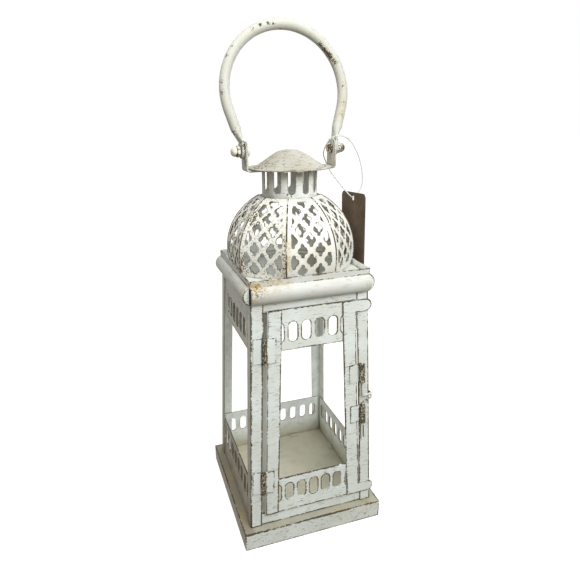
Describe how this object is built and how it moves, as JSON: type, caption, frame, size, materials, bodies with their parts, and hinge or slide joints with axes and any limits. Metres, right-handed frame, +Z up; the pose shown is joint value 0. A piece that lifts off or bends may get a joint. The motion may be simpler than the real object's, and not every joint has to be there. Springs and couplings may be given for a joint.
{
  "type": "candle lantern",
  "caption": "Tapered sheet-metal candle lantern with open sides, a hinged front door with a wire latch, a pierced dome, a vent cap and a bail handle.",
  "frame": {"origin": "middle of the plinth's underside", "axes": "+Z up, the door faces -Y, its hinges are on the -X side"},
  "size_m": [0.1208, 0.12, 0.3972],
  "materials": {
    "bronzed_fitting": "dark antiqued, worn pale on the high spots",
    "painted_fastener": "paint worn at the corners",
    "painted_sheet": "antique white paint rubbed through to dark brown at edges",
    "painted_wire": "thin worn paint",
    "string": "thin twisted thread",
    "tag_card": "matte plain brown"
  },
  "bodies": {
    "lantern_body": {"chimney_cap": "painted_sheet", "cornice_back": "painted_sheet", "cornice_front": "painted_sheet", "cornice_left": "painted_sheet", "cornice_right": "painted_sheet", "dome_panel_back": "painted_sheet", "dome_panel_back_left": "painted_sheet", "dome_panel_back_right": "painted_sheet", "dome_panel_front": "painted_sheet", "dome_panel_front_left": "painted_sheet", "dome_panel_front_right": "painted_sheet", "dome_panel_left": "painted_sheet", "dome_panel_right": "painted_sheet", "front_header": "painted_sheet", "front_sill": "painted_sheet", "handle_bolts": "painted_fastener", "handle_dome_nuts": "painted_fastener", "handle_strap": "painted_sheet", "hang_tag": "tag_card", "hinge_pins": "bronzed_fitting", "hinge_post_leaves": "bronzed_fitting", "lower_gallery_back": "painted_sheet", "lower_gallery_left": "painted_sheet", "lower_gallery_right": "painted_sheet", "plinth": "painted_sheet", "post_back_left": "painted_sheet", "post_back_right": "painted_sheet", "post_front_left": "painted_sheet", "post_front_right": "painted_sheet", "roof_plate": "painted_sheet", "tag_string": "string", "upper_gallery_back": "painted_sheet", "upper_gallery_left": "painted_sheet", "upper_gallery_right": "painted_sheet", "vent_collar": "painted_sheet"},
    "door": {"door_left_stile": "painted_sheet", "door_right_stile": "painted_sheet", "door_bottom_rail": "painted_sheet", "door_top_rail": "painted_sheet", "hinge_door_leaves": "bronzed_fitting", "latch_barrels": "bronzed_fitting"},
    "bail": {"bail_handle": "painted_sheet"},
    "latch": {"latch_wire": "painted_wire"}
  },
  "joints": [
    {"name": "door_hinge", "type": "hinge", "parent": "lantern_body", "child": "door", "pos_m": [-0.03982, -0.05172, 0.10549], "axis": [-0.0409, -0.0409, -0.9983], "range_deg": [0, 165]},
    {"name": "bail_swing", "type": "hinge", "parent": "lantern_body", "child": "bail", "pos_m": [0, 0, 0.3077], "axis": [1, 0, 0], "range_deg": [-129.5, 150.5], "deforming": ["tag_string"]},
    {"name": "latch_turn", "type": "hinge", "parent": "door", "child": "latch", "pos_m": [0.04292, -0.05292, 0.10554], "axis": [0.0409, -0.0409, -0.9983], "range_deg": [0, 120]}
  ]
}
